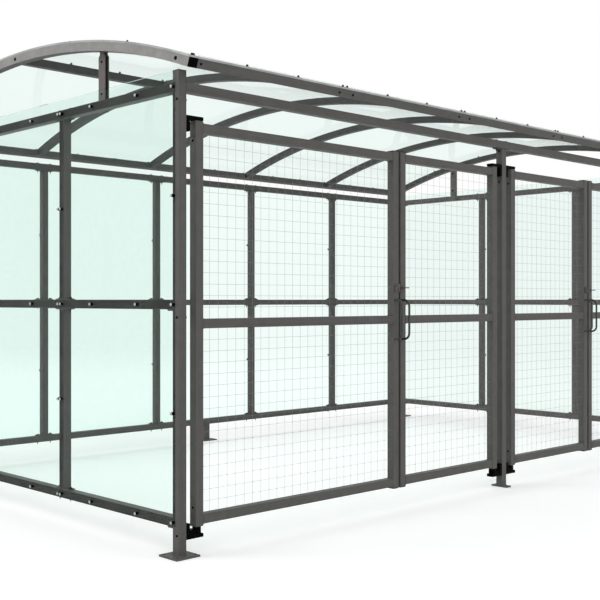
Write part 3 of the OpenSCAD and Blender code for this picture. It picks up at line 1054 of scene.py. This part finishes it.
class SHELTER_OT_roof_edges(bpy.types.Operator):
    """Pale strips that close the roof sheets' edges at the eaves and the ends"""

    bl_idname = "shelter.roof_edges"
    bl_label = "Roof edges"

    def execute(self, context):
        low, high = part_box("roof_sheets")
        strips = [self.end_strip(low.x - EDGE_STRIP_T / 2), self.end_strip(high.x + EDGE_STRIP_T / 2)]
        strips += [self.eave_strip(low.x, high.x, angle) for angle in (-SHEET_A, SHEET_A)]
        closed = join("roof_edge_strips", *strips)
        make_outward(closed)
        pale = finish("closing strip", moulded, colours().sheet_edge, rough=0.6, grain_scale=500)
        closed.data.materials.append(pale)
        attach(smooth(closed), SHELTER)
        return {"FINISHED"}

    def section(self, name, middle, across):
        """Flat section of a strip, as tall as the sheet, all selected in edit mode."""
        up = (middle - Vector((middle.x, 0, ROOF_AXIS_Z))).normalized()
        turn = Matrix((across, up, across.cross(up))).transposed()
        made = begin(bpy.ops.mesh.primitive_plane_add, name, size=1, location=middle,
                     rotation=turn.to_euler())
        made.scale = (EDGE_STRIP_T, ROOF_OUT_R - SHEET_IN_R, 1)
        in_place(made)
        open_mesh(made)
        return made

    def end_strip(self, x):
        """Swept about the roof's axis from one eave to the other."""
        made = self.section("end strip", on_roof(x, -SHEET_A, SHEET_MIDDLE_R), X_AXIS)
        bpy.ops.mesh.spin(steps=48, angle=2 * SHEET_A, center=(0, 0, ROOF_AXIS_Z), axis=X_AXIS)
        close_mesh()
        return made

    def eave_strip(self, x0, x1, angle):
        """Drawn out along the eave."""
        out = roof_down(angle)
        middle = on_roof(x0, angle, SHEET_MIDDLE_R) + out * EDGE_STRIP_T / 2
        made = self.section("eave strip", middle, out)
        draw_out(x1 - x0, 0, 0)
        close_mesh()
        return made


class SHELTER_OT_frame_bolts(bpy.types.Operator):
    """Dark bolts in the eave beams, the trims, the struts and the posts"""

    bl_idname = "shelter.frame_bolts"
    bl_label = "Frame bolts"

    def execute(self, context):
        bolt = dome_head(BOLT_R, BOLT_H)
        nut = hex_head(BOLT_R, NUT_H)
        trim_bolt = dome_head(TRIM_BOLT_R, BOLT_H)
        strut_fronts, strut_backs = self.struts()
        post_fronts, post_backs = self.posts()
        groups = (
            ("eave_beam_bolts", bolt, self.eaves()),
            ("arch_trim_bolts", trim_bolt, self.trims()),
            ("strut_bolts", bolt, strut_fronts),
            ("strut_nuts", nut, strut_backs),
            ("post_bolts", bolt, post_fronts),
            ("post_nuts", nut, post_backs),
        )
        for name, pattern, places in groups:
            set_out(pattern, places, name, SHELTER, dark_steel())
        put_away(bolt, trim_bolt, nut)
        return {"FINISHED"}

    def eaves(self):
        """Two beside each arch on the beams' outer faces, and one at the end arches."""
        xs = [x + s * EAVE_BOLT_OUT for x in LINE_XS for s in (-1, 1)
              if abs(x + s * EAVE_BOLT_OUT) < END_X]
        return [at(on_roof(x, a, ROOF_R - HALF) + roof_down(a) * TUBE, roof_down(a))
                for x in xs for a in (-ARCH_A, ARCH_A)]

    def trims(self):
        """On each trim over the front posts, the ridge and the rear posts."""
        angle = math.asin(SIDE_Y / (ROOF_R - HALF))
        return [at(on_roof(side * TRIM_X, a, ROOF_R - HALF), X_AXIS * side)
                for side in (-1, 1) for a in (-angle, 0.0, angle)]

    def struts(self):
        """On the outer and the inner faces of the struts, on their middle lines."""
        middle_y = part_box("end_struts")[1].y - STRUT_W / 2
        spots = [(side, s * middle_y, z) for side in (-1, 1) for s in (-1, 1) for z in STRUT_BOLT_ZS]
        return ([at((side * STRUT_OUT_X, y, z), X_AXIS * side) for side, y, z in spots],
                [at((side * STRUT_IN_X, y, z), X_AXIS * -side) for side, y, z in spots])

    def posts(self):
        """Through each corner post under the rails, and in the front middle post's sides."""
        fronts, backs = [], []
        for side in (-1, 1):
            for y in (-SIDE_Y, SIDE_Y):
                off = math.copysign(POST_BOLT_OFF, y)
                for z in RAIL_ZS:
                    spot = Vector((side * END_X, y + off, z - POST_BOLT_DOWN))
                    fronts.append(at(spot + X_AXIS * side * HALF, X_AXIS * side))
                    backs.append(at(spot - X_AXIS * side * HALF, X_AXIS * -side))
            for z in MIDDLE_POST_BOLT_ZS:
                fronts.append(at((side * HALF, -SIDE_Y, z), X_AXIS * side))
        return fronts, backs


class SHELTER_OT_hinge_details(bpy.types.Operator):
    """Zinc washers on the hinge pins and dark plugs in the hanging stiles' sides"""

    bl_idname = "shelter.hinge_details"
    bl_label = "Hinge details"

    def execute(self, context):
        ring = washer(WASHER_R, PIN_R + WASHER_PLAY, WASHER_T)
        plug = dome_head(BOLT_R, PLUG_H)
        ring_zs = (LEAF_TOP + HINGE_GAP / 2, LEAF_BOTTOM - HINGE_GAP / 2)
        for gate in GATES:
            x, meeting = leaf_xs(gate)
            outward = X_AXIS if x > meeting else -X_AXIS
            rings = [at((x, -SIDE_Y, z)) for z in ring_zs]
            set_out(ring, rings, f"{gate}_hinge_washers", gate, zinc())
            plugs = [at(Vector((x, -SIDE_Y, z)) + outward * HALF, outward) for z in STILE_PLUG_ZS]
            set_out(plug, plugs, f"{gate}_stile_plugs", gate, black_plastic())
        put_away(ring, plug)
        return {"FINISHED"}


class SHELTER_OT_handle_coats(bpy.types.Operator):
    """Black plastic coats on the gates' pull handles"""

    bl_idname = "shelter.handle_coats"
    bl_label = "Handle coats"

    def execute(self, context):
        glossy = finish("handle coat", moulded, colours().handle, rough=0.26, grain_scale=800, gloss=0.5)
        for gate in GATES:
            coat = self.coat(*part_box(f"{gate}_handle"), f"{gate}_handle_coat")
            coat.data.materials.append(glossy)
            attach(coat, gate)
        return {"FINISHED"}

    def coat(self, low, high, name):
        """Follows the bar from its lower foot, round both bends, to its upper foot."""
        foot = Vector(((low.x + high.x) / 2, high.y, low.z + HANDLE_R))
        leg = foot.y - low.y - HANDLE_R - HANDLE_BEND
        grip = HANDLE_H - 2 * HANDLE_BEND
        centre = foot + Vector((0, -leg, HANDLE_BEND))
        made = begin(bpy.ops.mesh.primitive_circle_add, name, vertices=12, radius=HANDLE_R + HANDLE_COAT,
                     location=foot, rotation=(math.radians(90), 0, 0))
        in_place(made)
        open_mesh(made)
        draw_out(0, -leg, 0)
        self.bend(centre)
        draw_out(0, 0, grip)
        self.bend(centre + Z_AXIS * grip)
        draw_out(0, leg, 0)
        bpy.ops.mesh.select_all(action="SELECT")
        bpy.ops.mesh.fill_holes(sides=0)
        close_mesh()
        make_outward(made)
        return smooth(made, 50)

    def bend(self, centre):
        """Turns the open end through a quarter about a centre."""
        bpy.ops.mesh.spin(steps=6, angle=math.radians(90), center=centre, axis=X_AXIS)


STEPS = (
    SHELTER_OT_stage, SHELTER_OT_finishes, SHELTER_OT_gate_mesh, SHELTER_OT_welds, SHELTER_OT_caps,
    SHELTER_OT_sealing_tape, SHELTER_OT_wall_fixings, SHELTER_OT_plate_screws, SHELTER_OT_roof_screws,
    SHELTER_OT_roof_edges, SHELTER_OT_frame_bolts, SHELTER_OT_hinge_details, SHELTER_OT_handle_coats)


class SHELTER_PT_dressing(bpy.types.Panel):
    """Steps and values of the dressing"""

    bl_idname = "SHELTER_PT_dressing"
    bl_label = "Cycle shelter"
    bl_space_type = "VIEW_3D"
    bl_region_type = "UI"
    bl_category = "Shelter"

    def draw(self, context):
        for step in STEPS:
            self.layout.operator(step.bl_idname)
        for group in (context.scene.shelter_colours, context.scene.shelter_sizes):
            box = self.layout.box()
            for name in group.__annotations__:
                box.prop(group, name)


CLASSES = (ShelterColours, ShelterSizes) + STEPS + (SHELTER_PT_dressing,)


def register():
    for cls in CLASSES:
        bpy.utils.register_class(cls)
    bpy.types.Scene.shelter_colours = bpy.props.PointerProperty(type=ShelterColours)
    bpy.types.Scene.shelter_sizes = bpy.props.PointerProperty(type=ShelterSizes)


def unregister():
    del bpy.types.Scene.shelter_sizes
    del bpy.types.Scene.shelter_colours
    for cls in reversed(CLASSES):
        bpy.utils.unregister_class(cls)


def main():
    register()
    bpy.ops.shelter.stage()
    bpy.ops.shelter.finishes()
    bpy.ops.shelter.gate_mesh()
    bpy.ops.shelter.welds()
    bpy.ops.shelter.caps()
    bpy.ops.shelter.sealing_tape()
    bpy.ops.shelter.wall_fixings()
    bpy.ops.shelter.plate_screws()
    bpy.ops.shelter.roof_screws()
    bpy.ops.shelter.roof_edges()
    bpy.ops.shelter.frame_bolts()
    bpy.ops.shelter.hinge_details()
    bpy.ops.shelter.handle_coats()


if __name__ == "__main__":
    main()
